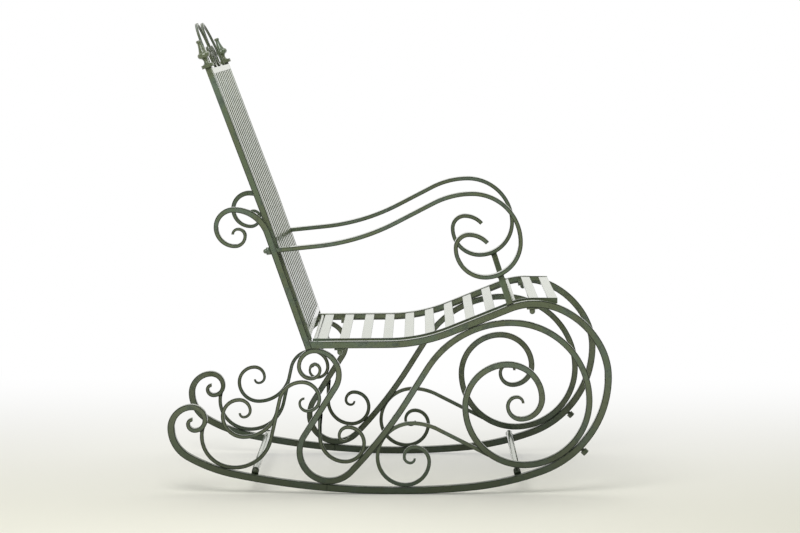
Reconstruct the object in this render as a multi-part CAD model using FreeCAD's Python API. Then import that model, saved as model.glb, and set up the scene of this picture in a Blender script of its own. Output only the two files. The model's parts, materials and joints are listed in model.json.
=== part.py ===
"""Outdoor iron rocking chair: bent-bar side frames with scrolls, slatted seat, strip back and scroll arms."""

import FreeCAD
import Part
import math
import os

V = FreeCAD.Vector

# Driving dimensions, in millimetres and degrees.
# X points forward, Y to the sitter's left and Z up. The origin is on the floor, on the middle plane,
# at the lowest point of the rockers.

# Bars and general
TRACK = 520.0                # between the middle planes of the two side frames
FRAME_BAR = 16.0             # square bar of rocker, front arch and seat rail
SCROLL_BAR = 14.0            # square bar of the large main scroll
ROD = 8.5                    # square rod of the small scrolls
FRAME_TIP = 8.0              # thickness of the hammered end of the rocker's curl
SCROLL_TIP = 6.0             # thickness of the hammered ends of the main scroll
ROD_TIP = 5.0                # thickness of the hammered ends of the small scrolls
SCROLL_TIP_QUARTERS = 4      # quarter turns over which the main scroll's end thins
ROD_TIP_QUARTERS = 3         # quarter turns over which a small scroll's end thins
WELD_GAP = 0.2               # gap left for the weld where two curved bars touch

# Rocker, front arch and seat rail, from the floor upwards
ROCKER_RADIUS = 1850.0
ROCKER_FRONT_TURN = 5.0
TOE_RADIUS = 680.0
TOE_TURN = 15.0
ARCH_LOWER_RADIUS = 230.0
ARCH_UPPER_RADII = (150.0, 190.0, 150.0)
ARCH_UPPER_TURNS = (25.0, 40.0, 25.0)
KNEE_RADIUS = 150.0
RAMP_SLOPE = 22.0
RAMP_LENGTH = 144.0
SAG_RADIUS = 390.0
RAIL_SLOPE = 0.5
RAIL_LENGTH = 184.0

# Tail of the rocker and its curl
SEAM_TURN = 4.9
TAIL_TURN = 11.5
HEEL_RADIUS = 358.0
HEEL_TURN = 18.5
CURL_RADII = (77.0, 48.0, 30.0, 24.0, 15.0, 10.0)

# Main scroll: top loop, neck, lower loop, long diagonal and front volute
TOP_LOOP_INSET = 16.0         # from the rail's rear end forward to the top of the curl
TOP_CURL_RADII = (36.0, 28.0, 20.0, 13.0, 9.0)
TOP_LOOP_RADIUS = 55.0
NECK_TURN = 123.0
LOW_LOOP_RADIUS = 68.0
DIAGONAL_FOOT_SLOPE = 46.0   # where the lower loop passes into the long diagonal
DIAGONAL_RADIUS = 1000.0
DIAGONAL_SLOPE = 58.0        # where the long diagonal passes into the shoulder
SHOULDER_RADIUS = 224.0
VOLUTE_RADII = (148.0, 135.0, 97.0, 78.0, 48.0, 30.0, 21.0, 14.0)

# Small scrolls
LOOP_SEAT = 42.0             # contact of the loop scroll, along the long diagonal
LOOP_OUTER_RADIUS = 58.0
LOOP_RADII = (43.0, 37.0, 20.0, 12.0, 9.0)
TAIL_HEEL_RADIUS = 72.0
TAIL_FRONT_RADIUS = 85.0
TAIL_STEM = 92.7
TAIL_STEM_SLOPE = 77.5
TAIL_RADII = (52.0, 40.0, 27.0, 18.0, 11.0)
REAR_SEAT = 74.0             # start of the rear scroll, along the stem of the tail scroll
REAR_START_SLOPE = 98.0
REAR_RADII = (79.0, 48.0, 38.0, 25.0, 15.0, 9.0)
FRONT_SEAT = 24.0            # contact of the front scroll, along the rocker ahead of its lowest point
FRONT_OUTER_RADIUS = 64.0
FRONT_HUMP_RADIUS = 79.0
FRONT_RUN_RADIUS = 130.0
FRONT_RUN_TURN = 27.0
FRONT_WELD_DEPTH = 5.2       # how deep the run's middle line would pass into the volute's bar
FRONT_RADII = (54.0, 34.0, 23.0, 14.0, 10.0)

# Back: side posts with their scrolls, stiles, rails, strips, crest and finials, measured along their lean
POST_LEAN = 19.3
PANEL_AHEAD = 6.0            # from the post's axis forward to the stiles' middle line
PANEL_BEND_HEIGHT = 298.0    # straight part of the panel before it bends further back
PANEL_BEND_RADIUS = 2000.0
PANEL_BEND_TURN = 1.25
POST_BAR = 15.0
POST_TIP = 6.0               # thickness of the hammered end of the post's scroll
POST_HEIGHT = 269.0          # straight part of the side post above the seat rail's centre
POST_FOOT = 26.0             # length of the post below the seat rail's centre, before it is fitted
WING_RADII = (82.0, 40.0, 43.0, 23.0, 16.0, 12.0)
STILE_BAR = 14.5
STILE_FOOT = 8.0             # lower end of the back's stiles above the seat rail's centre
STILE_HEIGHT = 668.0         # upper end of the back's stiles above the seat rail's centre
BACK_RAIL_DEPTH = 10.0
TOP_RAIL_WIDTH = 13.5
TOP_RAIL_DROP = 10.8         # from the stile's top down to the top rail's centre
LOW_RAIL_WIDTH = 14.6
LOW_RAIL_RISE = 22.2         # from the seat rail's centre up to the low rail's centre
STRIP_COUNT = 10
STRIP_WIDTH = 20.0
STRIP_THICKNESS = 2.5
CREST_ROD = 6.0              # square rod of the crest scrolls
CREST_TILT = 2.5             # how much further than the panel the crest leans back
CREST_FOOT = 178.0           # from the middle plane out to the foot of each crest scroll
CREST_FOOT_SLOPE = 70.0
CREST_FOOT_LENGTH = 46.5
CREST_SHOULDER_RADIUS = 98.0
CREST_RADII = (62.0, 28.0, 19.0, 13.0, 9.0)
FINIAL_FLANGE_RADIUS = 14.5
FINIAL_FLANGE_HEIGHT = 8.0
FINIAL_NECK_RADIUS = 5.0
FINIAL_NECK_HEIGHT = 9.0     # from the flange's top to the neck's narrowest place
FINIAL_COLLAR_RADIUS = 14.5
FINIAL_COLLAR_HEIGHT = 13.0
FINIAL_COLLAR_RISE = 6.0     # from the neck's narrowest place to the collar's lower edge
FINIAL_CONE_RADIUS = 9.5
FINIAL_CONE_HEIGHT = 22.0
FINIAL_CONE_HOLLOW = 0.8     # how far the cone's side is drawn in
FINIAL_TIP_RADIUS = 4.5
FINIAL_KNOB_RADIUS = 6.2
FINIAL_KNOB_HEIGHT = 6.5

# Arms
ARM_HEIGHT = 229.0           # along the post, from the seat rail's centre
ARM_THICKNESS = 9.5
ARM_WIDTH = 26.0
ARM_START_SLOPE = 6.0
ARM_START_LENGTH = 100.0
ARM_SWEEP_RADIUS = 500.0
ARM_SLOPE = 27.5
ARM_SLOPE_LENGTH = 95.0
ARM_CROWN_RADIUS = 190.0
ARM_RADII = (110.0, 80.0, 67.0, 30.0)
ARM_TIP_RADIUS = 56.0
ARM_TIP_TURN = 48.0
SUPPORT_WIDTH = 14.0
SUPPORT_THICKNESS = 10.0
SUPPORT_INSET = 54.0         # along the rail, behind the top of the front arch
SUPPORT_SLOPE = 108.0

# Seat
SEAT_RAIL_THICKNESS = 6.0
SEAT_RAIL_HEIGHT = 13.0
SEAT_RAIL_RISE = 2.6         # top of the seat side rail above the top of the frame bar
SEAT_RAIL_GAP = 18.0         # between the frame bar and the seat side rail
SEAT_NOSE = 54.0             # straight end of the side rail ahead of the front arch's top
SEAT_RAIL_INSET = 11.0       # start of the side rail ahead of the post's axis
SLAT_COUNT = 12
SLAT_WIDTH = 22.0
SLAT_THICKNESS = 4.0
SLAT_DROP = 1.0              # slat tops below the side rail's top edge
SLAT_PITCH = 49.8
FIRST_SLAT = 33.6            # along the rail from the post's axis
LAST_SLAT = 11.0             # from the rail's front end: the last slat is set flush with it, off the pitch
SEAT_ROD_DIAMETER = 10.5
SEAT_ROD_INSET = 15.8        # along the rail from the post's axis

# Fasteners and stretchers
BOLT = 6.0
BOLT_CLEARANCE = 0.2
BOLT_HEAD_RADIUS = 5.5
BOLT_HEAD_HEIGHT = 2.0       # straight edge of the head below its dome
SEAT_NUT_RADIUS = 6.5
SEAT_NUT_HEIGHT = 5.5        # straight edge of the seat bolts' cap nut below its dome
BOLT_DEPTH = 10.0
HOLE_PAST = 1.0              # how far a bolt hole runs past the bolt's end
CLIP_LENGTH = 25.0
CLIP_THICKNESS = 4.0
CLIP_REAR = 74.0             # along the rail from the post's axis
CLIP_FRONT = 5.0             # behind the top of the front arch
CLIP_LEG = 7.0               # height of the clip's leg on the side rail
STRETCHER_BAR = 13.0
STRETCHER_FRONT = 285.0      # along the rocker ahead of its lowest point
STRETCHER_REAR = 326.0       # along the rocker behind its lowest point
LUG_THICKNESS = 5.0
LUG_WIDTH = 16.0
LUG_AXIS = 7.5               # from the rocker's top to the stretcher's axis
WEDGE_WIDTH = 14.0
WEDGE_HEIGHT = 16.0
WEDGE_LENGTH = 9.0
STOP_TURN = 44.0             # place of the front stop on the lower arch, from the rightmost point down
STOP_NECK_RADIUS = 4.5
STOP_NECK_HEIGHT = 4.0
STOP_RADIUS = 8.0
STOP_HEIGHT = 10.0

HALF_TRACK = TRACK / 2
FRAME_HALF = FRAME_BAR / 2
SCROLL_HALF = SCROLL_BAR / 2
ROD_HALF = ROD / 2
QUARTER = 90.0
HALF_TURN = 180.0

# Faces between the side frames, as distances from the middle plane
stile_face = HALF_TRACK - POST_BAR / 2
panel_reach = stile_face - STILE_BAR
seat_reach = HALF_TRACK - FRAME_HALF - SEAT_RAIL_GAP - SEAT_RAIL_THICKNESS


class Leg:
    """One straight or circular stretch of a bent bar's centre line, in the X-Z plane."""

    def __init__(self, point, heading, length, radius=0.0, side=0):
        self.point = point
        self.heading = heading
        self.length = length
        self.radius = radius
        self.side = side
        left = (-math.sin(math.radians(heading)), math.cos(math.radians(heading)))
        self.centre = (point[0] + side * radius * left[0], point[1] + side * radius * left[1])

    def at(self, distance):
        """Point and heading at a distance from the leg's start."""
        if self.side == 0:
            angle = math.radians(self.heading)
            x = self.point[0] + distance * math.cos(angle)
            z = self.point[1] + distance * math.sin(angle)
            return x, z, self.heading
        heading = self.heading + self.side * math.degrees(distance / self.radius)
        angle = math.radians(heading)
        x = self.centre[0] + self.side * self.radius * math.sin(angle)
        z = self.centre[1] - self.side * self.radius * math.cos(angle)
        return x, z, heading

    def nearest(self, x, z):
        """Distance from a point to the leg, and where on the leg that is."""
        if self.side == 0:
            angle = math.radians(self.heading)
            along = (x - self.point[0]) * math.cos(angle) + (z - self.point[1]) * math.sin(angle)
            along = min(max(along, 0.0), self.length)
        else:
            bearing = math.degrees(math.atan2(z - self.centre[1], x - self.centre[0]))
            turned = self.side * (bearing + self.side * QUARTER - self.heading) % 360.0
            along = math.radians(turned) * self.radius
            if along > self.length:
                past_end = along - self.length
                before_start = math.radians(360.0 - turned) * self.radius
                along = self.length if past_end < before_start else 0.0
        px, pz, _ = self.at(along)
        return math.hypot(x - px, z - pz), along


class Path:
    """A bent bar's centre line: tangent legs, with the bar's thickness and any hammered ends."""

    def __init__(self, point, heading, thickness, legs=()):
        self.point = point
        self.heading = heading
        self.thickness = thickness
        self.legs = list(legs)
        self.start_run = 0.0
        self.end_run = 0.0
        self.tip = thickness

    @property
    def length(self):
        return sum(leg.length for leg in self.legs)

    def add(self, leg):
        self.legs.append(leg)
        x, z, self.heading = leg.at(leg.length)
        self.point = (x, z)
        return self

    def go(self, length):
        """Carry straight on."""
        return self.add(Leg(self.point, self.heading, length))

    def turn(self, radius, degrees):
        """Bend to the left for positive degrees and to the right for negative ones."""
        side = 1 if degrees > 0 else -1
        return self.add(Leg(self.point, self.heading, math.radians(abs(degrees)) * radius, radius, side))

    def curl(self, radii, side):
        """A run of quarter turns with the given radii."""
        for radius in radii:
            self.turn(radius, side * QUARTER)
        return self

    def hammer(self, tip, start_legs=0, end_legs=0):
        """Thin the bar evenly to the tip over its first or last legs."""
        self.tip = tip
        self.start_run = sum(leg.length for leg in self.legs[:start_legs])
        self.end_run = sum(leg.length for leg in self.legs[len(self.legs) - end_legs:])
        return self

    def flipped(self):
        """The same line, walked from its far end."""
        back = Path(self.point, self.heading + HALF_TURN, self.thickness)
        for leg in reversed(self.legs):
            x, z, heading = leg.at(leg.length)
            back.add(Leg((x, z), heading + HALF_TURN, leg.length, leg.radius, -leg.side))
        return back

    def plus(self, other):
        """This line carried on by another that starts at its end."""
        return Path(other.point, other.heading, self.thickness, self.legs + other.legs)

    def at(self, distance):
        for leg in self.legs[:-1]:
            if distance <= leg.length:
                return leg.at(distance)
            distance -= leg.length
        return self.legs[-1].at(distance)

    def half(self, distance):
        """Half the bar's thickness at a distance along the line."""
        share = 1.0
        if self.start_run and distance < self.start_run:
            share = distance / self.start_run
        if self.end_run and distance > self.length - self.end_run:
            share = (self.length - distance) / self.end_run
        return (self.tip + (self.thickness - self.tip) * share) / 2

    def beside(self, distance, offset):
        """Point at an offset to the left of the line."""
        x, z, heading = self.at(distance)
        angle = math.radians(heading)
        return x - offset * math.sin(angle), z + offset * math.cos(angle)

    def nearest(self, x, z):
        """Distance from a point to the line, and where along the line that is."""
        best = (math.inf, 0.0)
        start = 0.0
        for leg in self.legs:
            gap, along = leg.nearest(x, z)
            best = min(best, (gap, start + along))
            start += leg.length
        return best

    def face(self, low=None, high=None):
        """The bar's side view as a flat face, by default as wide as the bar is thick."""

        def corner(distance, upper):
            offset = self.half(distance) if upper else -self.half(distance)
            if low is not None:
                offset = high if upper else low
            x, z = self.beside(distance, offset)
            return V(x, 0, z)

        def side(upper):
            edges = []
            start = 0.0
            for leg in self.legs:
                end = start + leg.length
                first, last = corner(start, upper), corner(end, upper)
                if leg.side:
                    edges.append(Part.Arc(first, corner((start + end) / 2, upper), last).toShape())
                else:
                    edges.append(Part.LineSegment(first, last).toShape())
                start = end
            return edges

        end_cap = Part.LineSegment(corner(self.length, True), corner(self.length, False)).toShape()
        start_cap = Part.LineSegment(corner(0.0, False), corner(0.0, True)).toShape()
        ring = side(True) + [end_cap] + side(False)[::-1] + [start_cap]
        return Part.Face(Part.Wire(Part.__sortEdges__(ring)))


def solve(function, low, high):
    """The first value from low towards high where a function crosses zero."""
    steps = 40
    halvings = 40
    low_sign = function(low) > 0
    step = (high - low) / steps
    while abs(low + step - high) > abs(step) / 2 and (function(low + step) > 0) == low_sign:
        low += step
    high = low + step
    for _ in range(halvings):
        middle = (low + high) / 2
        if (function(middle) > 0) == low_sign:
            low = middle
        else:
            high = middle
    return (low + high) / 2


def solve_up_to(most, function):
    """The first value above zero, up to the most, where a function crosses zero."""
    first_try = most / 100
    return solve(function, first_try, most)


def gap_between(path, other):
    """Least gap between two bars seen from the side."""
    samples = 240
    gaps = []
    for index in range(samples + 1):
        distance = path.length * index / samples
        x, z, _ = path.at(distance)
        gap, along = other.nearest(x, z)
        gaps.append(gap - path.half(distance) - other.half(along))
    return min(gaps)


def fitted(face, *neighbours):
    """A bar's side view with its ends shaped to the neighbours that it meets."""
    for neighbour in neighbours:
        face = face.cut(neighbour)
    return max(face.Faces, key=lambda piece: piece.Area)


def thickened(face, y, width):
    """A solid of the given width from a side view, centred at y."""
    flat = face.copy()
    flat.translate(V(0, y - width / 2, 0))
    return flat.extrude(V(0, width, 0))


def block(path, low, high, y0, y1):
    """A solid along a line, between two offsets from it and between two Y values."""
    return thickened(path.face(low, high), (y0 + y1) / 2, abs(y1 - y0))


def short_bar(path, distance, length):
    """A straight line of a given length, laid along a path and centred at a distance."""
    x, z, heading = path.at(distance)
    angle = math.radians(heading)
    start = (x - length / 2 * math.cos(angle), z - length / 2 * math.sin(angle))
    return Path(start, heading, path.thickness).go(length)


def stretch(path, start, end):
    """The part of a line between two distances along it."""
    x, z, heading = path.at(start)
    part = Path((x, z), heading, path.thickness)
    passed = 0.0
    for leg in path.legs:
        first = max(start - passed, 0.0)
        last = min(end - passed, leg.length)
        if last > first:
            x, z, heading = leg.at(first)
            part.add(Leg((x, z), heading, last - first, leg.radius, leg.side))
        passed += leg.length
    return part


def direction(degrees):
    """Unit vector in the side view at an angle above forward."""
    return V(math.cos(math.radians(degrees)), 0, math.sin(math.radians(degrees)))


def dome_bolt(seat, axis, shank, radius=BOLT_HEAD_RADIUS, height=BOLT_HEAD_HEIGHT):
    """A dome-headed bolt whose head sits at a point, with its shank running along the axis."""
    dome_centre = seat - axis * height
    head = Part.makeCylinder(radius, height, dome_centre, axis)
    dome = Part.makeSphere(radius, dome_centre, axis * -1, 0, 90, 360)
    stem = Part.makeCylinder(BOLT / 2, shank, seat, axis)
    return head.fuse([dome, stem]).removeSplitter()


def bolt_hole(start, axis, depth):
    """The clearance hole for a bolt, from just outside its start to just past its depth."""
    return Part.makeCylinder(BOLT / 2 + BOLT_CLEARANCE, depth + 2 * HOLE_PAST, start - axis * HOLE_PAST, axis)


# Side frame lines, all in the X-Z plane
centre_radius = ROCKER_RADIUS - FRAME_HALF
floor_point = (0.0, FRAME_HALF)

front_line = Path(floor_point, 0.0, FRAME_BAR)
front_line.turn(centre_radius, ROCKER_FRONT_TURN)
front_line.turn(TOE_RADIUS, TOE_TURN)
front_line.turn(ARCH_LOWER_RADIUS, QUARTER - ROCKER_FRONT_TURN - TOE_TURN)
arch_side = front_line.length
for arch_radius, arch_turn in zip(ARCH_UPPER_RADII, ARCH_UPPER_TURNS):
    front_line.turn(arch_radius, arch_turn)
front_line.turn(KNEE_RADIUS, RAMP_SLOPE)
front_line.go(RAMP_LENGTH)
front_line.turn(SAG_RADIUS, RAIL_SLOPE - RAMP_SLOPE)
front_line.go(RAIL_LENGTH)
rail_end = front_line.point
longest_run = rail_end[1]    # no straight stretch of a scroll is longer than the seat rail is high

seam_line = Path(floor_point, HALF_TURN, FRAME_BAR).turn(centre_radius, -SEAM_TURN)
rocker_line = seam_line.flipped().plus(front_line)

tail_line = Path(seam_line.point, seam_line.heading, FRAME_BAR)
tail_line.turn(centre_radius, SEAM_TURN - TAIL_TURN)
tail_line.turn(HEEL_RADIUS, -HEEL_TURN)
tail_line.turn(CURL_RADII[0], TAIL_TURN + HEEL_TURN - QUARTER)
tail_line.curl(CURL_RADII[1:], -1)
tail_line.hammer(FRAME_TIP, end_legs=len(CURL_RADII) - 1)

whole_rocker = Path(floor_point, HALF_TURN, FRAME_BAR).turn(centre_radius, -TAIL_TURN)
whole_rocker.turn(HEEL_RADIUS, -HEEL_TURN)

seat_line = Path(rail_end, RAIL_SLOPE, FRAME_BAR)
seat_line.go(RAIL_LENGTH)
seat_line.turn(SAG_RADIUS, RAMP_SLOPE - RAIL_SLOPE)
seat_line.go(RAMP_LENGTH)
seat_line.turn(KNEE_RADIUS, -RAMP_SLOPE)
arch_top_run = seat_line.length
seat_line.go(SEAT_NOSE)

post_up = direction(QUARTER + POST_LEAN)
post_start = (rail_end[0] - POST_FOOT * post_up.x, rail_end[1] - POST_FOOT * post_up.z)
post_line = Path(post_start, QUARTER + POST_LEAN, POST_BAR).go(POST_FOOT + POST_HEIGHT)
post_line.turn(WING_RADII[0], QUARTER - POST_LEAN)
post_line.curl(WING_RADII[1:], 1)
post_line.hammer(POST_TIP, end_legs=len(WING_RADII))

panel_foot = direction(POST_LEAN) * PANEL_AHEAD
panel_start = (rail_end[0] + panel_foot.x, rail_end[1] + panel_foot.z)
panel_line = Path(panel_start, QUARTER + POST_LEAN, STILE_BAR).go(PANEL_BEND_HEIGHT)
panel_line.turn(PANEL_BEND_RADIUS, PANEL_BEND_TURN)
panel_line.go(STILE_HEIGHT - panel_line.length)


def main_scroll_line():
    """Top curl, neck, lower loop, long diagonal and volute, each bent until it touches the frame bar."""
    contact = FRAME_HALF + WELD_GAP + SCROLL_HALF
    curl_run = math.radians(QUARTER) * sum(TOP_CURL_RADII)
    thinned_run = curl_run + math.radians(NECK_TURN) * TOP_LOOP_RADIUS
    top_half = (SCROLL_TIP + (SCROLL_BAR - SCROLL_TIP) * curl_run / thinned_run) / 2
    top = seat_line.beside(TOP_LOOP_INSET, -(FRAME_HALF + WELD_GAP + top_half))
    top_curl = Path(top, RAIL_SLOPE + HALF_TURN, SCROLL_BAR).curl(TOP_CURL_RADII, 1)

    def neck(length):
        return Path(top, RAIL_SLOPE, SCROLL_BAR).turn(TOP_LOOP_RADIUS, -NECK_TURN).go(length)

    def lower_loop(length):
        line = neck(length)
        loop = Path(line.point, line.heading, SCROLL_BAR)
        return loop.turn(LOW_LOOP_RADIUS, DIAGONAL_FOOT_SLOPE - line.heading)

    neck_length = solve_up_to(longest_run, lambda run: gap_between(lower_loop(run), whole_rocker) - WELD_GAP)

    def shoulder(length):
        line = lower_loop(neck_length).turn(DIAGONAL_RADIUS, DIAGONAL_SLOPE - DIAGONAL_FOOT_SLOPE).go(length)
        bend = Path(line.point, line.heading, SCROLL_BAR)
        return bend.turn(SHOULDER_RADIUS, -DIAGONAL_SLOPE)

    diagonal = solve_up_to(longest_run, lambda run: gap_between(shoulder(run), seat_line) - WELD_GAP)
    crown = shoulder(diagonal).point

    def touch_arch(right):
        lower = VOLUTE_RADII[0]
        gap, _ = front_line.nearest(crown[0] + right - lower, crown[1] - right)
        return gap - lower - contact

    right_radius = solve(touch_arch, VOLUTE_RADII[0], 2 * VOLUTE_RADII[0])

    line = top_curl.flipped().plus(neck(neck_length))
    line.turn(LOW_LOOP_RADIUS, DIAGONAL_FOOT_SLOPE - line.heading)
    diagonal_run = line.length
    line.turn(DIAGONAL_RADIUS, DIAGONAL_SLOPE - DIAGONAL_FOOT_SLOPE)
    line.go(diagonal)
    line.turn(SHOULDER_RADIUS, -DIAGONAL_SLOPE)
    line.curl((right_radius,) + VOLUTE_RADII, -1)
    line.hammer(SCROLL_TIP, start_legs=len(TOP_CURL_RADII) + 1, end_legs=SCROLL_TIP_QUARTERS)
    print("main scroll: neck", round(neck_length, 1), "diagonal", round(diagonal, 1),
          "volute front radius", round(right_radius, 1))
    return line, diagonal_run


main_line, diagonal_run = main_scroll_line()
loop_legs = len(TOP_CURL_RADII) + 2
volute_legs = len(VOLUTE_RADII) + 1


def reach(carried, neighbour, most):
    """A line carried on, by a length or by an angle, until its end lies inside a neighbouring bar."""

    def miss(amount):
        gap, along = neighbour.nearest(*carried(amount).point)
        return gap - neighbour.half(along) / 2

    return carried(solve_up_to(most, miss))


def loop_scroll_line():
    """The small scroll inside the lower loop: it leans on the long diagonal and grows from the neck."""
    contact = SCROLL_HALF + WELD_GAP + ROD_HALF
    seat = main_line.beside(diagonal_run + LOOP_SEAT, contact)
    _, _, slope = main_line.at(diagonal_run + LOOP_SEAT)
    inner = Path(seat, slope, ROD).turn(LOOP_RADII[0], QUARTER - slope)
    inner.curl(LOOP_RADII[1:], 1)

    def outer(run):
        line = Path(seat, slope + HALF_TURN, ROD)
        line.turn(LOOP_RADII[0], -slope)
        return line.turn(LOOP_OUTER_RADIUS, -QUARTER).go(run)

    neck = Path(main_line.point, 0.0, SCROLL_BAR, main_line.legs[:loop_legs])
    line = reach(outer, neck, longest_run).flipped().plus(inner)
    return line.hammer(ROD_TIP, end_legs=ROD_TIP_QUARTERS)


def tail_scroll_line():
    """The S-shaped scroll at the back: its lower bend lies on the rocker, its top against the main scroll."""
    contact = FRAME_HALF + WELD_GAP + ROD_HALF

    def front(run):
        _, _, heading = whole_rocker.at(run)
        line = Path(whole_rocker.beside(run, -contact), heading - HALF_TURN, ROD)
        line.turn(TAIL_FRONT_RADIUS, TAIL_STEM_SLOPE - (heading - HALF_TURN))
        line.go(TAIL_STEM)
        line.turn(TAIL_RADII[0], -TAIL_STEM_SLOPE)
        return line.curl(TAIL_RADII[1:], -1)

    seat_run = solve(lambda run: gap_between(front(run), main_line) - WELD_GAP, whole_rocker.length, 0.0)
    _, _, heading = whole_rocker.at(seat_run)
    seat = whole_rocker.beside(seat_run, -contact)

    def heel_bend(turn):
        return Path(seat, heading, ROD).turn(TAIL_HEEL_RADIUS, -turn)

    heel = reach(heel_bend, tail_line, HALF_TURN)
    line = heel.flipped().plus(front(seat_run))
    stem_run = heel.length + front(seat_run).legs[0].length
    print("tail scroll touches the rocker", round(seat_run, 1), "behind its lowest point")
    return line.hammer(ROD_TIP, end_legs=ROD_TIP_QUARTERS), stem_run


def rear_scroll_line():
    """The scroll inside the tail scroll's lower bend, grown from its stem."""
    x, z, _ = tail_scroll.at(tail_stem_run + REAR_SEAT)
    line = Path((x, z), -REAR_START_SLOPE, ROD)
    line.turn(REAR_RADII[0], REAR_START_SLOPE - HALF_TURN)
    line.curl(REAR_RADII[1:], -1)
    return line.hammer(ROD_TIP, end_legs=ROD_TIP_QUARTERS)


def front_scroll_line():
    """The scroll on the rocker under the seat, joined to the volute by a long arched run."""
    contact = FRAME_HALF + WELD_GAP + ROD_HALF
    heading = math.degrees(FRONT_SEAT / centre_radius)
    seat = front_line.beside(FRONT_SEAT, contact)
    inner = Path(seat, heading, ROD).turn(FRONT_RADII[0], QUARTER - heading)
    inner.curl(FRONT_RADII[1:], 1)

    def outer(hump_turn):
        line = Path(seat, heading + HALF_TURN, ROD)
        line.turn(FRONT_OUTER_RADIUS, -QUARTER - heading)
        line.turn(FRONT_HUMP_RADIUS, -hump_turn)
        return line.turn(FRONT_RUN_RADIUS, -FRONT_RUN_TURN)

    volute = Path(main_line.point, 0.0, SCROLL_BAR, main_line.legs[-volute_legs:])

    def depth_miss(hump_turn):
        bend = outer(hump_turn)
        run = Path(bend.point, bend.heading, 0.0).go(longest_run)
        return gap_between(run, volute) + FRONT_WELD_DEPTH

    steepest = HALF_TURN - FRONT_RUN_TURN
    hump_turn = solve(depth_miss, steepest, 0.0)
    line = reach(lambda run: outer(hump_turn).go(run), volute, longest_run).flipped().plus(inner)
    print("front scroll: hump turn", round(hump_turn, 1))
    return line.hammer(ROD_TIP, end_legs=ROD_TIP_QUARTERS)


loop_scroll = loop_scroll_line()
tail_scroll, tail_stem_run = tail_scroll_line()
rear_scroll = rear_scroll_line()
front_scroll = front_scroll_line()


def arm_line():
    """The arm's flat bar: it rises from the post, rolls over in front and ends in a curl."""
    x, z, _ = post_line.at(POST_FOOT + ARM_HEIGHT)
    line = Path((x, z), ARM_START_SLOPE, ARM_THICKNESS).go(ARM_START_LENGTH)
    line.turn(ARM_SWEEP_RADIUS, ARM_SLOPE - ARM_START_SLOPE)
    line.go(ARM_SLOPE_LENGTH)
    line.turn(ARM_CROWN_RADIUS, -ARM_SLOPE)
    line.curl(ARM_RADII, -1)
    return line.turn(ARM_TIP_RADIUS, -ARM_TIP_TURN)


arm = arm_line()
support_foot = seat_line.at(arch_top_run - SUPPORT_INSET)


def support_line(run):
    return Path(support_foot[:2], SUPPORT_SLOPE, SUPPORT_WIDTH).go(run)


support = reach(support_line, arm, longest_run)

# Side views
post_face = post_line.face()
main_face = main_line.face()
rocker_face = fitted(rocker_line.face(), post_face)
tail_face = tail_line.face()
tail_scroll_face = fitted(tail_scroll.face(), tail_face)
arm_face = fitted(arm.face(), post_face)
side_views = {
    "main_scroll": (main_face, SCROLL_BAR),
    "rocker_tail": (tail_face, FRAME_BAR),
    "loop_scroll": (fitted(loop_scroll.face(), main_face), ROD),
    "tail_scroll": (tail_scroll_face, ROD),
    "rear_scroll": (fitted(rear_scroll.face(), tail_scroll_face), ROD),
    "front_scroll": (fitted(front_scroll.face(), main_face), ROD),
    "arm_support": (fitted(support.face(), rocker_face, arm_face), SUPPORT_THICKNESS),
}

# Bolt places in the side view: seat clips, arm ends and stretchers
clip_runs = (CLIP_REAR, arch_top_run - CLIP_FRONT)
arm_axis = direction(ARM_START_SLOPE)
arm_root = V(arm.legs[0].point[0], 0, arm.legs[0].point[1])
wedge_back = POST_BAR / 2 / math.cos(math.radians(POST_LEAN - ARM_START_SLOPE)) + WEDGE_LENGTH
lug_runs = {
    "front": (front_line, STRETCHER_FRONT, 1),
    "rear": (whole_rocker, STRETCHER_REAR, -1),
}


def stretcher_axis(place):
    """Centre of a stretcher in the side view."""
    line, run, inward = lug_runs[place]
    x, z = line.beside(run, inward * (FRAME_HALF + LUG_AXIS))
    return V(x, 0, z)


def seat_bolt_axis(run):
    """Underside of the frame bar at a seat clip, and the direction into the bar."""
    x, z = seat_line.beside(run, -FRAME_HALF)
    _, _, heading = seat_line.at(run)
    return V(x, 0, z), direction(heading + QUARTER)


def on_panel(shape):
    """A piece made upright at the origin, set on the top end of the back panel's line and tilted with it."""
    x, z, heading = panel_line.at(STILE_HEIGHT)
    shape = shape.copy()
    shape.rotate(V(0, 0, 0), V(0, 1, 0), QUARTER - heading)
    shape.translate(V(x, 0, z))
    return shape


def back_stile(side):
    """A square bar on the inner face of the side post, bent a little further back above the arm."""
    line = stretch(panel_line, STILE_FOOT, STILE_HEIGHT)
    half = STILE_BAR / 2
    return block(line, -half, half, side * stile_face, side * panel_reach)


def side_frame(side):
    """Pieces of one side frame: side is -1 for the sitter's right and 1 for the left."""
    y = side * HALF_TRACK
    pieces = {name: thickened(face, y, width) for name, (face, width) in side_views.items()}
    rail = thickened(rocker_face, y, FRAME_BAR)
    for run in clip_runs:
        seat, axis = seat_bolt_axis(run)
        rail = rail.cut(bolt_hole(seat + V(0, y, 0), axis, BOLT_DEPTH))
    pieces["rocker_rail"] = rail
    root = arm_root + V(0, y, 0)
    hole = bolt_hole(root - arm_axis * wedge_back, arm_axis, wedge_back + POST_BAR + BOLT_DEPTH)
    pieces["back_stile"] = back_stile(side)
    pieces["arm_rail"] = thickened(arm_face, y, ARM_WIDTH).cut(hole).cut(pieces["back_stile"])
    pieces["side_post"] = thickened(fitted(post_face, main_face), y, POST_BAR).cut(hole)
    rail_run = stretch(seat_line, SEAT_RAIL_INSET, seat_line.length)
    high = FRAME_HALF + SEAT_RAIL_RISE
    inner = side * seat_reach
    outer = side * (seat_reach + SEAT_RAIL_THICKNESS)
    pieces["seat_side_rail"] = block(rail_run, high - SEAT_RAIL_HEIGHT, high, outer, inner)
    return pieces


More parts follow.
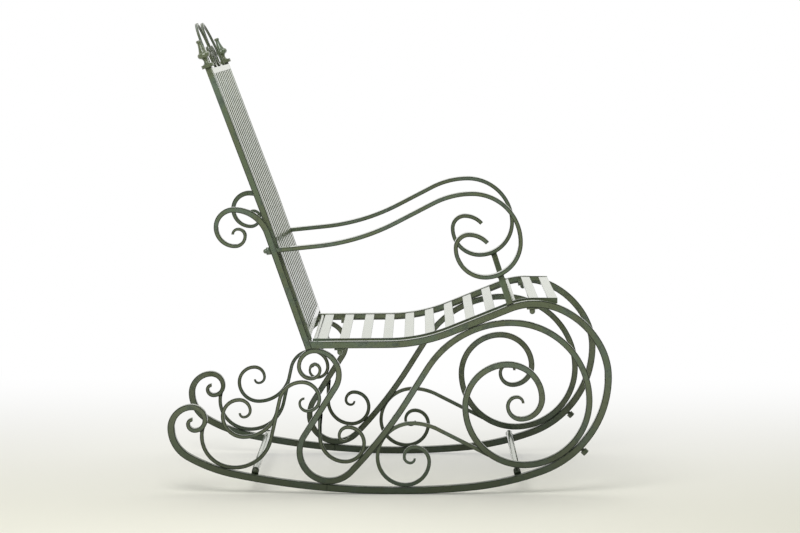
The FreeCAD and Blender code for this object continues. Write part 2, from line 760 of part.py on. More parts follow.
def seat_slats():
    """Flat slats set between the side rails along the seat's curve, and a rod behind them."""
    top = FRAME_HALF + SEAT_RAIL_RISE - SLAT_DROP
    runs = [FIRST_SLAT + index * SLAT_PITCH for index in range(SLAT_COUNT - 1)]
    runs.append(seat_line.length - LAST_SLAT)
    slats = {}
    for index, run in enumerate(runs):
        strip = short_bar(seat_line, run, SLAT_WIDTH)
        slats[f"seat_slat_{index + 1:02d}"] = block(strip, top - SLAT_THICKNESS, top, -seat_reach, seat_reach)
    x, z = seat_line.beside(SEAT_ROD_INSET, FRAME_HALF + SEAT_RAIL_RISE - SEAT_RAIL_HEIGHT / 2)
    rod_end = V(x, -seat_reach, z)
    slats["seat_rear_rod"] = Part.makeCylinder(SEAT_ROD_DIAMETER / 2, 2 * seat_reach, rod_end, V(0, 1, 0))
    return slats


def back_panel():
    """Top and low rails between the stiles and upright strips between the rails, all flush in front."""
    front = -STILE_BAR / 2
    low = LOW_RAIL_RISE
    high = STILE_HEIGHT - TOP_RAIL_DROP
    panel = {}
    rails = (("back_low_rail", low, LOW_RAIL_WIDTH), ("back_top_rail", high, TOP_RAIL_WIDTH))
    for name, centre, width in rails:
        line = short_bar(panel_line, centre, width)
        panel[name] = block(line, front, front + BACK_RAIL_DEPTH, -panel_reach, panel_reach)
    pitch = 2 * panel_reach / STRIP_COUNT
    line = stretch(panel_line, low + LOW_RAIL_WIDTH / 2, high - TOP_RAIL_WIDTH / 2)
    for index in range(STRIP_COUNT):
        y = -panel_reach + (index + 0.5) * pitch
        edges = (y - STRIP_WIDTH / 2, y + STRIP_WIDTH / 2)
        panel[f"back_strip_{index + 1:02d}"] = block(line, front, front + STRIP_THICKNESS, *edges)
    return panel


def crest(top_rail):
    """A mirrored pair of scrolls standing on the top rail."""
    rail_top = TOP_RAIL_WIDTH / 2 - TOP_RAIL_DROP
    sink = TOP_RAIL_WIDTH / 2
    foot = direction(CREST_FOOT_SLOPE)
    start = (-CREST_FOOT - sink * foot.x, -sink * foot.z)
    line = Path(start, CREST_FOOT_SLOPE, CREST_ROD).go(CREST_FOOT_LENGTH + sink)
    line.turn(CREST_SHOULDER_RADIUS, -CREST_FOOT_SLOPE)
    line.turn(CREST_RADII[0], -QUARTER)
    line.turn(line.point[1] - CREST_ROD / 2 - WELD_GAP, -QUARTER)
    line.curl(CREST_RADII[1:], -1)
    line.hammer(ROD_TIP, end_legs=ROD_TIP_QUARTERS)
    upright = thickened(line.face(), 0, CREST_ROD)
    upright.rotate(V(0, 0, 0), V(0, 0, 1), QUARTER)
    upright.rotate(V(0, 0, 0), V(0, 1, 0), -CREST_TILT)
    upright.translate(V(0, 0, rail_top))
    right = on_panel(upright).cut(top_rail)
    return {"right_crest_scroll": right, "left_crest_scroll": right.mirror(V(0, 0, 0), V(0, 1, 0))}


def finial(side):
    """A turned finial on a stile: flange, hollow neck, collar, drawn-in cone and knob."""
    neck = FINIAL_FLANGE_HEIGHT + FINIAL_NECK_HEIGHT
    collar = neck + FINIAL_COLLAR_RISE
    cone = collar + FINIAL_COLLAR_HEIGHT
    tip = cone + FINIAL_CONE_HEIGHT
    top = tip + FINIAL_KNOB_HEIGHT
    outline = []

    def edge(*points):
        corners = [V(radius, 0, height) for radius, height in points]
        curve = Part.Arc(*corners) if len(corners) == 3 else Part.LineSegment(*corners)
        outline.append(curve.toShape())

    cone_middle = (FINIAL_CONE_RADIUS + FINIAL_TIP_RADIUS) / 2 - FINIAL_CONE_HOLLOW
    edge((0, 0), (FINIAL_FLANGE_RADIUS, 0))
    edge((FINIAL_FLANGE_RADIUS, 0), (FINIAL_FLANGE_RADIUS, FINIAL_FLANGE_HEIGHT))
    edge((FINIAL_FLANGE_RADIUS, FINIAL_FLANGE_HEIGHT),
         (FINIAL_NECK_RADIUS, neck),
         (FINIAL_CONE_RADIUS, collar))
    edge((FINIAL_CONE_RADIUS, collar),
         (FINIAL_COLLAR_RADIUS, (collar + cone) / 2),
         (FINIAL_CONE_RADIUS, cone))
    edge((FINIAL_CONE_RADIUS, cone), (cone_middle, (cone + tip) / 2), (FINIAL_TIP_RADIUS, tip))
    edge((FINIAL_TIP_RADIUS, tip), (FINIAL_KNOB_RADIUS, (tip + top) / 2), (FINIAL_TIP_RADIUS, top))
    edge((FINIAL_TIP_RADIUS, top), (0, top))
    edge((0, top), (0, 0))
    turned = Part.Face(Part.Wire(outline)).revolve(V(0, 0, 0), V(0, 0, 1), 2 * HALF_TURN)
    turned.translate(V(0, side * (stile_face + panel_reach) / 2, 0))
    return on_panel(turned)


def seat_clip(side, run):
    """An angle clip under the frame bar, with a leg on the inside of the seat's side rail."""
    outer = side * (HALF_TRACK + FRAME_HALF)
    rail_face = side * seat_reach
    leg_face = rail_face - side * CLIP_THICKNESS
    line = short_bar(seat_line, run, CLIP_LENGTH)
    under = -FRAME_HALF - CLIP_THICKNESS
    plate = fitted(line.face(under, 0.0), rocker_face)
    plate = thickened(plate, (outer + leg_face) / 2, abs(outer - leg_face))
    rail_low = FRAME_HALF + SEAT_RAIL_RISE - SEAT_RAIL_HEIGHT
    leg = block(line, under, rail_low + CLIP_LEG, rail_face, leg_face)
    seat, axis = seat_bolt_axis(run)
    clip = plate.fuse(leg).removeSplitter()
    underside = seat + V(0, side * HALF_TRACK, 0) - axis * CLIP_THICKNESS
    return clip.cut(bolt_hole(underside, axis, CLIP_THICKNESS))


def seat_bolt(side, run):
    seat, axis = seat_bolt_axis(run)
    start = seat + V(0, side * HALF_TRACK, 0) - axis * CLIP_THICKNESS
    return dome_bolt(start, axis, CLIP_THICKNESS + BOLT_DEPTH, SEAT_NUT_RADIUS, SEAT_NUT_HEIGHT)


def stretcher(place):
    """A square bar across the chair between its two lugs, drilled for the end bolts."""
    end = HALF_TRACK - FRAME_HALF - LUG_THICKNESS
    centre = stretcher_axis(place)
    half = STRETCHER_BAR / 2
    bar = Part.makeBox(STRETCHER_BAR, 2 * end, STRETCHER_BAR, centre + V(-half, -end, -half))
    for side in (-1, 1):
        bar = bar.cut(bolt_hole(centre + V(0, side * end, 0), V(0, -side, 0), BOLT_DEPTH))
    return bar


def stretcher_lug(place, side):
    """A round-topped plate on the rocker's inner face that carries a stretcher's end."""
    line, run, inward = lug_runs[place]
    centre = stretcher_axis(place)
    y0 = side * (HALF_TRACK - FRAME_HALF)
    disc = Part.makeCylinder(LUG_WIDTH / 2, LUG_THICKNESS, centre + V(0, y0, 0), V(0, -side, 0))
    upright = short_bar(line, run, LUG_WIDTH)
    low, high = sorted((0.0, inward * (FRAME_HALF + LUG_AXIS)))
    plate = block(upright, low, high, y0, y0 - side * LUG_THICKNESS)
    lug = disc.fuse(plate).removeSplitter()
    return lug.cut(bolt_hole(centre + V(0, y0, 0), V(0, -side, 0), LUG_THICKNESS))


def stretcher_bolt(place, side):
    seat = stretcher_axis(place) + V(0, side * (HALF_TRACK - FRAME_HALF), 0)
    return dome_bolt(seat, V(0, -side, 0), LUG_THICKNESS + BOLT_DEPTH)


def arm_wedge(side):
    """A wedge behind the post that gives the arm's bolt head a square seat."""
    start = arm_root - arm_axis * wedge_back
    line = Path((start.x, start.z), ARM_START_SLOPE, WEDGE_HEIGHT).go(wedge_back)
    wedge = thickened(fitted(line.face(), post_face), side * HALF_TRACK, WEDGE_WIDTH)
    return wedge.cut(bolt_hole(start + V(0, side * HALF_TRACK, 0), arm_axis, wedge_back))


def arm_bolt(side):
    seat = arm_root - arm_axis * wedge_back + V(0, side * HALF_TRACK, 0)
    return dome_bolt(seat, arm_axis, wedge_back + POST_BAR)


def front_stop(side):
    """A small round stop on the outside of the front arch that limits how far the chair tips forward."""
    run = arch_side - math.radians(STOP_TURN) * ARCH_LOWER_RADIUS
    x, z = front_line.beside(run, -FRAME_HALF)
    _, _, heading = front_line.at(run)
    outward = direction(heading - QUARTER)
    seat = V(x, side * HALF_TRACK, z)
    neck = Part.makeCylinder(STOP_NECK_RADIUS, STOP_NECK_HEIGHT, seat, outward)
    pad = Part.makeCylinder(STOP_RADIUS, STOP_HEIGHT, seat + outward * STOP_NECK_HEIGHT, outward)
    return neck.fuse(pad).removeSplitter()


def both(make, *places):
    """The same small piece on both sides, and at each place if there are several."""
    return Part.makeCompound([make(side, place) for place in places for side in (-1, 1)])


def chair():
    """Every piece of the chair by name."""
    pieces = {}
    for side, name in ((-1, "right"), (1, "left")):
        for part, shape in side_frame(side).items():
            pieces[f"{name}_{part}"] = shape
    pieces.update(seat_slats())
    pieces.update(back_panel())
    pieces.update(crest(pieces["back_top_rail"]))
    for place in lug_runs:
        pieces[f"{place}_stretcher"] = stretcher(place)
    sides = (-1, 1)
    pieces["post_finials"] = Part.makeCompound([finial(side) for side in sides])
    pieces["front_stops"] = Part.makeCompound([front_stop(side) for side in sides])
    fasteners = [make(side) for make in (arm_wedge, arm_bolt) for side in sides]
    pieces["arm_fasteners"] = Part.makeCompound(fasteners)
    pieces["seat_clips"] = both(seat_clip, *clip_runs)
    pieces["seat_bolts"] = both(seat_bolt, *clip_runs)
    pieces["stretcher_lugs"] = both(lambda side, place: stretcher_lug(place, side), *lug_runs)
    pieces["stretcher_bolts"] = both(lambda side, place: stretcher_bolt(place, side), *lug_runs)
    return pieces


pieces = chair()
os.makedirs("parts", exist_ok=True)
for name, shape in pieces.items():
    shape.exportStep(f"parts/{name}.step")
volume = sum(shape.Volume for shape in pieces.values())
print(len(pieces), "pieces, metal volume", round(volume / 1e6, 2), "litres")
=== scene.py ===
# %% [markdown]
# An outdoor rocking chair of bent iron bar, painted dark antique green.
#
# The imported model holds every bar, slat and bolt at its real size, in metres, with the sitter facing
# along +X and +Z up. We load it first and never move it. Everything after that is about looks: edges that
# are rounded as rolled bar is, weld beads, and paint with its own history.

# %% Load the chair
import json
import math
import random
from collections import Counter
from itertools import combinations

import bmesh
import bpy
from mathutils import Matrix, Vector
from mathutils.bvhtree import BVHTree


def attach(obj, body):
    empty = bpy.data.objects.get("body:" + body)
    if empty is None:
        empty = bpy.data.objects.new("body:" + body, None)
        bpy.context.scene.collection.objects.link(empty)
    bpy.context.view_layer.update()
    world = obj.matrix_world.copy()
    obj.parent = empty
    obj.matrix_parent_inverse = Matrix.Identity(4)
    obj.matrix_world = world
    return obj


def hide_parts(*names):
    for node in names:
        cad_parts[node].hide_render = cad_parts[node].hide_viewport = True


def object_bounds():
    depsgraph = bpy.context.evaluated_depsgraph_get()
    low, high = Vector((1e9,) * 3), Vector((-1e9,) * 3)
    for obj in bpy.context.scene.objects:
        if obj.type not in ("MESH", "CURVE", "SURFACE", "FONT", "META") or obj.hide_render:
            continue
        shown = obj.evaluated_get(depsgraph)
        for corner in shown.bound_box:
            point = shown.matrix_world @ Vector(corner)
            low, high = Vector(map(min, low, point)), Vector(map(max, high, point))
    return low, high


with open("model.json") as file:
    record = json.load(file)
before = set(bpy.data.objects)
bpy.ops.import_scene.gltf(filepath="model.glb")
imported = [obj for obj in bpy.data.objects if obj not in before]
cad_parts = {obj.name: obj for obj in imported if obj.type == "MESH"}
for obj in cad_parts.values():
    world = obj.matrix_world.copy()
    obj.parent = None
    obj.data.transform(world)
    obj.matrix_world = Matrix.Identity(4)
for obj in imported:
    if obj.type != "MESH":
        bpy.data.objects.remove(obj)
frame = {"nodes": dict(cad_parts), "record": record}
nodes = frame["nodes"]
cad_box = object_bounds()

MM = 0.001
chair_size = cad_box[1] - cad_box[0]
print(len(nodes), "pieces of iron, box", [round(side, 3) for side in chair_size])

# %% [markdown]
# The camera. It stands almost square to the chair's right side, nearly six metres from its middle, level
# with the top of the back and tilted down six degrees. A long lens keeps the near and the far side frame
# almost the same size. One could aim a camera with a constraint, but plain numbers are easier to read.

# %% Place the camera
CAMERA_PLACE = Vector((0.0537, -5.777, 1.0958))
CAMERA_TILT = math.radians(5.92)
CAMERA_YAW = math.radians(0.45)
SENSOR_WIDTH = 36.0
LENS = 109.9

camera = bpy.data.objects.new("camera", bpy.data.cameras.new("camera"))
camera.location = CAMERA_PLACE
camera.rotation_euler = (math.pi / 2 - CAMERA_TILT, 0.0, CAMERA_YAW)
camera.data.sensor_width = SENSOR_WIDTH
camera.data.lens = LENS
bpy.context.scene.collection.objects.link(camera)
bpy.context.scene.camera = camera
print("camera", round((CAMERA_PLACE - cad_box[0]).length, 2), "m from the chair's lowest corner")

# %% [markdown]
# A finish is a small network of shader nodes. Wiring it by hand hides the idea behind the plumbing, so we
# wrap one socket in a class that understands arithmetic: `1 - mask` or `0.2 + 0.3 * grain` adds the Math
# nodes by itself. Colours must not go through Math nodes, which turn them grey, so they are mixed instead.

# %% A socket that can be calculated with
class Socket:
    """One number flowing through a finish. Arithmetic on it adds Math nodes."""

    def __init__(self, finish, socket):
        self.finish = finish
        self.socket = socket

    def maths(self, operation, first, second):
        return self.finish.add("ShaderNodeMath", "Value", {"operation": operation}, {0: first, 1: second})

    def __add__(self, other):
        return self.maths("ADD", self, other)

    def __radd__(self, other):
        return self.maths("ADD", other, self)

    def __sub__(self, other):
        return self.maths("SUBTRACT", self, other)

    def __rsub__(self, other):
        return self.maths("SUBTRACT", other, self)

    def __mul__(self, other):
        return self.maths("MULTIPLY", self, other)

    def __rmul__(self, other):
        return self.maths("MULTIPLY", other, self)


print("socket ready, with + - and *")

# %% [markdown]
# A finish owns the nodes of a material or of the world. Blender has dozens of kinds of node, and a method
# for each would make a long class. One method adds any kind instead: it takes the node's settings, then
# the values or links of its sockets. Noise, soft steps and mixed colours come up often, so they have
# short names.

# %% A finish, and the one method that adds any node to it
class Finish:
    """The node tree of a material or of the world."""

    def __init__(self, owner):
        owner.use_nodes = True
        self.owner = owner
        self.tree = owner.node_tree
        self.tree.nodes.clear()

    def add(self, kind, output, settings=None, inputs=None):
        """Add a node: its settings first, then its sockets' values or links. Returns one output."""
        node = self.tree.nodes.new(kind)
        for name, value in (settings or {}).items():
            setattr(node, name, value)
        for name, value in (inputs or {}).items():
            if isinstance(value, Socket):
                self.tree.links.new(value.socket, node.inputs[name])
            else:
                node.inputs[name].default_value = value
        return Socket(self, node.outputs[output]) if output is not None else node

    def noise(self, place, size, detail=2.0, roughness=0.5):
        """Cloudy noise whose lumps are about the given size, in metres."""
        sockets = {"Vector": place, "Scale": 1 / size, "Detail": detail, "Roughness": roughness}
        return self.add("ShaderNodeTexNoise", "Fac", inputs=sockets)

    def step(self, value, low, high):
        """A soft step from 0 at low to 1 at high."""
        sockets = {"Value": value, "From Min": low, "From Max": high}
        return self.add("ShaderNodeMapRange", "Result", {"interpolation_type": "SMOOTHSTEP"}, sockets)

    def mix(self, amount, first, second):
        """A colour between two colours."""
        return self.add("ShaderNodeMix", 2, {"data_type": "RGBA"}, {0: amount, 6: first, 7: second})


print("finish maker ready")

# %% [markdown]
# The studio. The chair stands on a pale floor that runs back into a white wall of light. A bent paper roll
# would do, but a flat floor that fades into white with distance is simpler and takes the same soft shadow.
# Only what the camera or a reflection sees becomes pure white: the light that falls on the chair stays plain.

# %% Lay the floor
FLOOR_HALF = 14.0
FLOOR_DROP = 0.4 * MM
FLOOR_NEAR = (0.86, 0.845, 0.755, 1.0)
WHITE = (1.0, 1.0, 1.0, 1.0)
FADE_START = -0.8
FADE_END = 1.6


def seen_ray(finish):
    """1 for rays that come from the camera, a reflection or clear glass, and 0 for light itself."""
    kinds = ("Is Camera Ray", "Is Glossy Ray", "Is Transmission Ray")
    camera_ray, glossy, through = [finish.add("ShaderNodeLightPath", kind) for kind in kinds]
    return finish.step(camera_ray + glossy + through, 0.0, 1.0)


def floor_finish():
    finish = Finish(bpy.data.materials.new("studio_floor"))
    place = finish.add("ShaderNodeTexCoord", "Object")
    depth = finish.add("ShaderNodeSeparateXYZ", "Y", inputs={0: place})
    away = finish.step(depth, FADE_START, FADE_END)
    paper = finish.add("ShaderNodeBsdfDiffuse", "BSDF", inputs={"Color": FLOOR_NEAR})
    glow = finish.add("ShaderNodeEmission", "Emission", inputs={"Color": WHITE, "Strength": 1.0})
    whitened = away * seen_ray(finish)
    shader = finish.add("ShaderNodeMixShader", "Shader", inputs={0: whitened, 1: paper, 2: glow})
    finish.add("ShaderNodeOutputMaterial", None, inputs={"Surface": shader})
    return finish.owner


floor_mesh = bpy.data.meshes.new("studio_floor")
corners = [(-1, -1), (1, -1), (1, 1), (-1, 1)]
floor_points = [(x * FLOOR_HALF, y * FLOOR_HALF, -FLOOR_DROP) for x, y in corners]
floor_mesh.from_pydata(floor_points, [], [(0, 1, 2, 3)])
floor = bpy.data.objects.new("studio_floor", floor_mesh)
floor.data.materials.append(floor_finish())
bpy.context.scene.collection.objects.link(floor)
print("floor", 2 * FLOOR_HALF, "m square, white from", FADE_END, "m behind the chair")

# %% [markdown]
# The light. A studio for pictures on white has a bright wall behind the subject and a dim room behind the
# camera. Glossy paint mirrors both: a face turned to the lens shows its own green, and a face that the eye
# only grazes shows the white wall. A picture of a real studio could light the scene, but two plain tones
# do the same. One broad lamp hangs overhead and one stands high at the camera's left.

# %% Set the light
ROOM_FRONT = (0.15, 0.155, 0.15, 1.0)
ROOM_BACK = (0.95, 0.96, 0.91, 1.0)
DIM_SIDE = -0.10
BRIGHT_SIDE = 0.30
LAMP_AIM = (0.0, 0.0, 0.7)


def light_room():
    world = bpy.data.worlds.new("studio")
    bpy.context.scene.world = world
    finish = Finish(world)
    towards = finish.add("ShaderNodeTexCoord", "Generated")
    depth = finish.add("ShaderNodeSeparateXYZ", "Y", inputs={0: towards})
    room = finish.mix(finish.step(depth, DIM_SIDE, BRIGHT_SIDE), ROOM_FRONT, ROOM_BACK)
    colour = finish.mix(finish.add("ShaderNodeLightPath", "Is Camera Ray"), room, WHITE)
    glow = finish.add("ShaderNodeBackground", "Background", inputs={"Color": colour, "Strength": 1.0})
    finish.add("ShaderNodeOutputWorld", None, inputs={"Surface": glow})


def soft_lamp(name, place, size, power):
    """A large square lamp that shines from a place towards the chair."""
    lamp = bpy.data.lights.new(name, "AREA")
    lamp.size = size
    lamp.energy = power
    lamp_object = bpy.data.objects.new(name, lamp)
    lamp_object.location = place
    lamp_object.rotation_euler = (Vector(LAMP_AIM) - Vector(place)).to_track_quat("-Z", "Y").to_euler()
    bpy.context.scene.collection.objects.link(lamp_object)
    return lamp_object


light_room()
soft_lamp("ceiling_lamp", place=(0.2, 0.3, 2.8), size=1.2, power=12.0)
soft_lamp("side_lamp", place=(-0.5, -1.6, 2.1), size=1.2, power=32.0)
bpy.context.scene.view_settings.view_transform = "Standard"
print("lamps", [lamp.name for lamp in bpy.data.lights])

# %% [markdown]
# The paint. The iron is sprayed dark green, a look sold as antique green, and painted shade darkens the
# hollows and the edges. Under a clear glossy top coat the paint looks almost white
# where the eye grazes it, as on the seat's slats: that is the coat's reflection and needs no pale colour.
# Painted shade darkens the side frames towards the floor, and their coat is duller there. The green drifts to
# olive and to blue in patches as long as a hand. One could paint a picture for each bar, but noise in the
# object's own space runs on unbroken over every bend.

# %% Choose the colours of the antique green paint
GREEN = (0.110, 0.148, 0.086, 1.0)
OLIVE = (0.119, 0.143, 0.079, 1.0)
SEA_GREEN = (0.120, 0.160, 0.118, 1.0)
# Dark green used for the stains and for the painted shade in hollows and along edges.
STAIN_AND_SHADE = (0.016, 0.021, 0.012, 1.0)
# Painted shade: the dark green laid on the side frames towards the floor.
LOW_SHADE = (0.018, 0.028, 0.014, 1.0)
RUBBED = (0.165, 0.180, 0.130, 1.0)
HAND = 75.0 * MM
THUMB = 20.0 * MM
SPECK = 3.5 * MM
HOLLOW_REACH = 10.0 * MM
# How high the painted shade towards the floor reaches, and how much its border wavers.
LOW_SHADE_TOP = 340.0 * MM
LOW_SHADE_WAVE = 100.0 * MM
print("paint patches", round(HAND / MM), "mm, stains", round(THUMB / MM), "mm, specks", SPECK / MM, "mm")

# %% [markdown]
# Each layer of the paint is a mask between 0 and 1, made by a soft step on noise, on height, on hollows or on
# the mark that the rounded edges will carry. A colour ramp could do the same, but a step has a low and a
# high end with a meaning: where the layer begins, and where it covers fully. The layers are then laid over
# one another: the greens, the stains with painted shade in the hollows, painted shade on the edges and
# towards the floor, and last the rubbed edges.

# %% Mix the antique green paint
EDGE = "rounded_edge"
STAIN_STEP = (0.52, 0.66)
HOLLOW_STEP = (0.2, 0.9)
RIM_STEP = (0.0, 0.5)
WORN_STEP = (0.66, 0.82)
GREEN_STEP = (0.42, 0.60)
SEA_STEP = (0.50, 0.62)
# How dark the painted shade in the hollows is, and how dark the stains are.
HOLLOW_SHADE = 0.5
STAIN_WASH = 0.45
LOW_SHADE_COVER = 0.72
STAIN_DULL = 0.3
LOW_SHADE_DULL = 0.85
RIM_DULL = 0.8
STAIN_SPECKS = 0.25
WORN_SPECKS = 0.3
DENT_SPECKS = 0.15
SEA_PATCHES = 0.5
STAIN_ROUGH = 0.15
HOLLOW_RAYS = 8


def antique_paint(name, stain_and_shade_amount, rub, roughness, dent, blotch, low_shade_amount, specular, coat):
    """Stained green paint, with painted shade in hollows, on edges and low down, under a clear coat."""
    finish = Finish(bpy.data.materials.new(name))
    place = finish.add("ShaderNodeTexCoord", "Object")
    height = finish.add("ShaderNodeSeparateXYZ", "Z", inputs={0: place})
    patches = finish.noise(place, HAND, detail=2.0)
    marks = finish.noise(place, THUMB, detail=3.0, roughness=0.6)
    specks = finish.noise(place, SPECK, detail=2.0)
    edge = finish.add("ShaderNodeAttribute", "Fac", {"attribute_name": EDGE})
    openness = finish.add("ShaderNodeAmbientOcclusion", "AO", {"samples": HOLLOW_RAYS},
                          {"Distance": HOLLOW_REACH})
    hollow = 1 - openness

    stains = blotch * finish.step((1 - STAIN_SPECKS) * marks + STAIN_SPECKS * specks, *STAIN_STEP)
    # Painted shade along the rounded edges; the coat is also left duller there.
    edge_shade = finish.step(edge, *RIM_STEP)
    # Painted shade towards the floor: full at the floor, gone at the top height.
    low_shade = low_shade_amount * (1 - finish.step(height + LOW_SHADE_WAVE * marks, 0.0, LOW_SHADE_TOP))
    worn = edge * finish.step(marks + WORN_SPECKS * specks, *WORN_STEP)
    sea = finish.step(SEA_PATCHES * patches + (1 - SEA_PATCHES) * marks, *SEA_STEP)

    colour = finish.mix(finish.step(patches, *GREEN_STEP), OLIVE, GREEN)
    colour = finish.mix(sea, colour, SEA_GREEN)
    # Painted shade in the hollows, where little light reaches, plus the real stains.
    stains_and_hollow_shade = HOLLOW_SHADE * finish.step(hollow, *HOLLOW_STEP) + STAIN_WASH * stains
    colour = finish.mix(stain_and_shade_amount * stains_and_hollow_shade, colour, STAIN_AND_SHADE)
    # Lay the painted shade along the rounded edges.
    colour = finish.mix(stain_and_shade_amount * edge_shade, colour, STAIN_AND_SHADE)
    # Lay the painted shade towards the floor.
    colour = finish.mix(LOW_SHADE_COVER * low_shade, colour, LOW_SHADE)
    colour = finish.mix(rub * worn, colour, RUBBED)
    gloss = (1 - STAIN_DULL * stains) * (1 - LOW_SHADE_DULL * low_shade) * (1 - RIM_DULL * edge_shade)

    dents = finish.add("ShaderNodeBump", "Normal", inputs={
        "Strength": 1.0, "Distance": dent, "Height": marks + DENT_SPECKS * specks})
    shader = finish.add("ShaderNodeBsdfPrincipled", "BSDF", inputs={
        "Base Color": colour,
        "Roughness": roughness + STAIN_ROUGH * stains,
        "Specular IOR Level": specular,
        "Coat Weight": gloss,
        "Coat Roughness": coat,
        "Normal": dents,
    })
    finish.add("ShaderNodeOutputMaterial", None, inputs={"Surface": shader})
    return finish.owner


print("paint mixer ready")

# %% [markdown]
# Three paints come from one recipe. The hand-bent side frames are dented and stained. The flat slats, strips
# and stretchers are straight, smooth, kept clean by use and get no painted shade towards the floor. The bolts
# and clips carry the darkest stains and painted shade in hollows and on edges. Separate materials could be
# built node by node, but one recipe keeps them related.

# %% Paint the frames, the slats and the fasteners
# Per paint: how much painted shade it takes towards the floor, and how dark its stains and its painted shade
# in hollows and on edges are.
PAINT_KINDS = {
    "frame_paint": dict(stain_and_shade_amount=0.9, rub=0.5, roughness=0.34, dent=0.10 * MM, blotch=1.0, low_shade_amount=1.0,
                        specular=0.25, coat=0.07),
    "slat_paint": dict(stain_and_shade_amount=0.7, rub=0.5, roughness=0.12, dent=0.01 * MM, blotch=0.3, low_shade_amount=0.0,
                       specular=0.5, coat=0.18),
    "fastener_paint": dict(stain_and_shade_amount=1.0, rub=0.7, roughness=0.36, dent=0.15 * MM, blotch=1.0, low_shade_amount=1.0,
                           specular=0.3, coat=0.07),
}
PAINTS = {name: antique_paint(name, **kind) for name, kind in PAINT_KINDS.items()}
slot_of = {part["node"]: part["material_slot"] for part in frame["record"]["subparts"]}
slot_of.update(front_stretcher="slat_paint", rear_stretcher="slat_paint")
print("paints", sorted(PAINTS))

# %% [markdown]
# Rolled bar never has a razor edge: the mill leaves its corners round, and the coats of paint round them
# more. A bevel modifier could do this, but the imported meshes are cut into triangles, which a bevel follows
# badly. So each piece is copied, its flat faces are made whole again, and the sharp edges that run along it
# are bevelled in the copy. Cut ends stay as the saw left them, and so do the rims of bolt holes. The bevelled
# points are marked, so that the paint knows where the edges are.

# %% Round the edges of every bar
SHARP = math.radians(32.0)
FLAT = math.radians(0.25)
WELD_POINTS = 0.02 * MM
EDGE_ROUND = {
    "frame_paint": 2.2 * MM,
    "slat_paint": 1.0 * MM,
    "fastener_paint": 0.6 * MM,
}
FINE_ROUND = {
    "post_finials": 0.6 * MM,
    "right_front_scroll": 1.1 * MM,
    "left_front_scroll": 1.1 * MM,
}
EDGE_STEPS = 4
EDGE_PROFILE = 0.75
HOLE_SHARE = 0.25


def long_edges(shape, shortest):
    """The sharp edges that run along a bar. A plain block has none, so all its sharp edges count."""
    sharp = []
    for edge in shape.edges:
        if edge.calc_length() > shortest and edge.calc_face_angle(0.0) > SHARP:
            sharp.append(edge)
    meeting = Counter(vertex for edge in sharp for vertex in edge.verts)
    along = [edge for edge in sharp if any(meeting[vertex] == 2 for vertex in edge.verts)]
    return along or sharp


def rounded_copy(node, name):
    """A copy of a node with whole flat faces and rounded, marked edges."""
    source = nodes[node].data
    shape = bmesh.new()
    shape.from_mesh(source)
    bmesh.ops.remove_doubles(shape, verts=shape.verts, dist=WELD_POINTS)
    bmesh.ops.dissolve_limit(shape, angle_limit=FLAT, verts=shape.verts, edges=shape.edges)
    edge_mark = shape.verts.layers.float.new(EDGE)
    radius = FINE_ROUND.get(node, EDGE_ROUND[slot_of[node]])
    along = long_edges(shape, HOLE_SHARE * radius)
    rounded = bmesh.ops.bevel(shape, geom=along, offset=radius, segments=EDGE_STEPS,
                              profile=EDGE_PROFILE, affect="EDGES", clamp_overlap=False)
    for face in shape.faces:
        face.smooth = True
    rounding = set(rounded["faces"])
    for vertex in rounded["verts"]:
        vertex[edge_mark] = 1.0 if rounding.issuperset(vertex.link_faces) else 0.0
    mesh = bpy.data.meshes.new(name)
    shape.to_mesh(mesh)
    shape.free()
    return mesh


def add_piece(name, mesh, slot):
    """A new piece of the chair, painted from its slot and riding on the chair."""
    piece = bpy.data.objects.new(name, mesh)
    bpy.context.scene.collection.objects.link(piece)
    mesh.materials.clear()
    mesh.materials.append(PAINTS[slot])
    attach(piece, "root")
    return piece


def even_normals(piece):
    """Let large flat faces keep their own shading beside the small rounded ones."""
    weighted = piece.modifiers.new("even_normals", "WEIGHTED_NORMAL")
    weighted.keep_sharp = True


faces_made = 0
for node in sorted(nodes):
    bar = add_piece(f"{node}_bar", rounded_copy(node, f"{node}_bar"), slot_of[node])
    even_normals(bar)
    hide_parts(node)
    faces_made += len(bar.data.polygons)
print("rounded pieces", len(nodes), "with", faces_made, "faces")

# %% [markdown]
# The welds. Where two bars of a side frame touch, a short bead was run into the corner on either side of the
# joint and then painted over. No list of joints is needed: any point of one bar that lies within half a
# millimetre of another bar belongs to a joint, and points close together belong to the same one. The butt
# joint in the rocker is welded over its two side faces instead, so that the face it rolls on stays clean.

# %% Find where the bars of a side frame touch
TOUCH = 0.5 * MM
JOINT_SPAN = 28.0 * MM
SIDEWAYS = 0.5
BUTTED = {"rocker_rail", "rocker_tail"}
WELDED = ("main_scroll", "rocker_tail", "loop_scroll", "tail_scroll", "rear_scroll", "front_scroll",
          "arm_support", "rocker_rail", "side_post", "arm_rail")


def surface(node):
    """The points of a node and a search tree of its faces."""
    shape = nodes[node]
    points = [shape.matrix_world @ vertex.co for vertex in shape.data.vertices]
    faces = [tuple(face.vertices) for face in shape.data.polygons]
    return points, BVHTree.FromPolygons(points, faces)


def touching(first, second):
    """Points of either bar that lie against the other, each with the way across the joint."""
    found = []
    for (points, _), (_, tree) in ((first, second), (second, first)):
        for point in points:
            _, across, _, _ = tree.find_nearest(point, TOUCH)
            if across is not None and abs(across.y) < SIDEWAYS:
                found.append((point, across))
    return found


def gathered(found):
    """Touching points sorted into separate joints."""
    joints = []
    for point, across in found:
        for joint in joints:
            if (joint[0][0] - point).length < JOINT_SPAN:
                joint.append((point, across))
                break
        else:
            joints.append([(point, across)])
    return joints


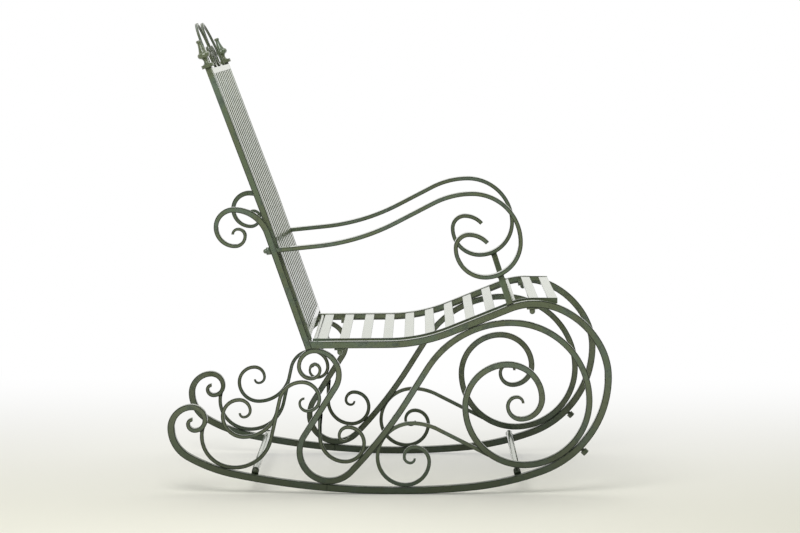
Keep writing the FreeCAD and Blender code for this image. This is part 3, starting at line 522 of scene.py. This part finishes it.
def frame_joints(side):
    """Every joint of a side frame, each with whether it is a butt joint."""
    surfaces = {part: surface(f"{side}_{part}") for part in WELDED}
    joints = []
    for first, second in combinations(WELDED, 2):
        butted = BUTTED == {first, second}
        for joint in gathered(touching(surfaces[first], surfaces[second])):
            joints.append((joint, butted))
    return joints


joints_of = {side: frame_joints(side) for side in ("right", "left")}

# %% [markdown]
# A bead is laid as a row of overlapping drops, so its outline ripples and its ends taper. Each one is swept
# as a ring of points whose radius follows the drops. A plain tube would look like a pin stuck in the corner.

# %% Run the weld beads
BEAD_RADIUS = 2.1 * MM
BEAD_DROPS = 4
BEAD_RINGS = 17
BEAD_SIDES = 10
# Beads count partly as a rounded edge, so they take some painted edge shade and some rubbed wear.
BEAD_EDGE_MARK = 0.25
BEAD_RIPPLE = 0.15
BEAD_LUMP = 0.06
BLUNT_END = 0.02


def add_bead(shape, start, end, across, lumps):
    """One rippled bead from start to end in the corner of a joint."""
    along = (end - start).normalized()
    sideways = along.cross(across).normalized()
    upright = sideways.cross(along)
    rings = []
    for index in range(BEAD_RINGS):
        share = index / (BEAD_RINGS - 1)
        taper = math.sqrt(max(1 - (2 * share - 1) ** 4, BLUNT_END))
        ripple = 1 - BEAD_RIPPLE + BEAD_RIPPLE * abs(math.sin(math.pi * BEAD_DROPS * share))
        radius = BEAD_RADIUS * taper * ripple * lumps.uniform(1 - BEAD_LUMP, 1 + BEAD_LUMP)
        centre = start.lerp(end, share)
        ring = []
        for step in range(BEAD_SIDES):
            angle = 2 * math.pi * step / BEAD_SIDES
            offset = math.cos(angle) * sideways + math.sin(angle) * upright
            ring.append(shape.verts.new(centre + radius * offset))
        rings.append(ring)
    for first, second in zip(rings, rings[1:]):
        for step in range(BEAD_SIDES):
            after = (step + 1) % BEAD_SIDES
            shape.faces.new((first[step], first[after], second[after], second[step]))
    shape.faces.new(rings[0][::-1])
    shape.faces.new(rings[-1])


def weld_beads(side, seed):
    shape = bmesh.new()
    lumps = random.Random(seed)
    for joint, butted in joints_of[side]:
        points = [point for point, _ in joint]
        across = joint[0][1].copy()
        across.y = 0.0
        across.normalize()
        tangent = across.cross(Vector((0.0, 1.0, 0.0)))
        middle = sum(points, Vector()) / len(points)
        reaches = [(point - middle).dot(tangent) for point in points]
        inner = min(point.y for point in points)
        outer = max(point.y for point in points)
        spots = [middle + reach * tangent for reach in (min(reaches), max(reaches))]
        corners = [[Vector((spot.x, y, spot.z)) for y in (inner, outer)] for spot in spots]
        runs = zip(*corners) if butted else corners
        for start, end in runs:
            add_bead(shape, start, end, across, lumps)
    bmesh.ops.recalc_face_normals(shape, faces=shape.faces)
    edge_mark = shape.verts.layers.float.new(EDGE)
    # The edge mark brings painted edge shade and rubbed wear onto the beads.
    for vertex in shape.verts:
        vertex[edge_mark] = BEAD_EDGE_MARK
    for face in shape.faces:
        face.smooth = True
    mesh = bpy.data.meshes.new(f"{side}_weld_beads")
    shape.to_mesh(mesh)
    shape.free()
    return mesh


for seed, side in enumerate(joints_of):
    beads = add_piece(f"{side}_weld_beads", weld_beads(side, seed), "frame_paint")
    print(beads.name, "with", len(beads.data.polygons), "faces")
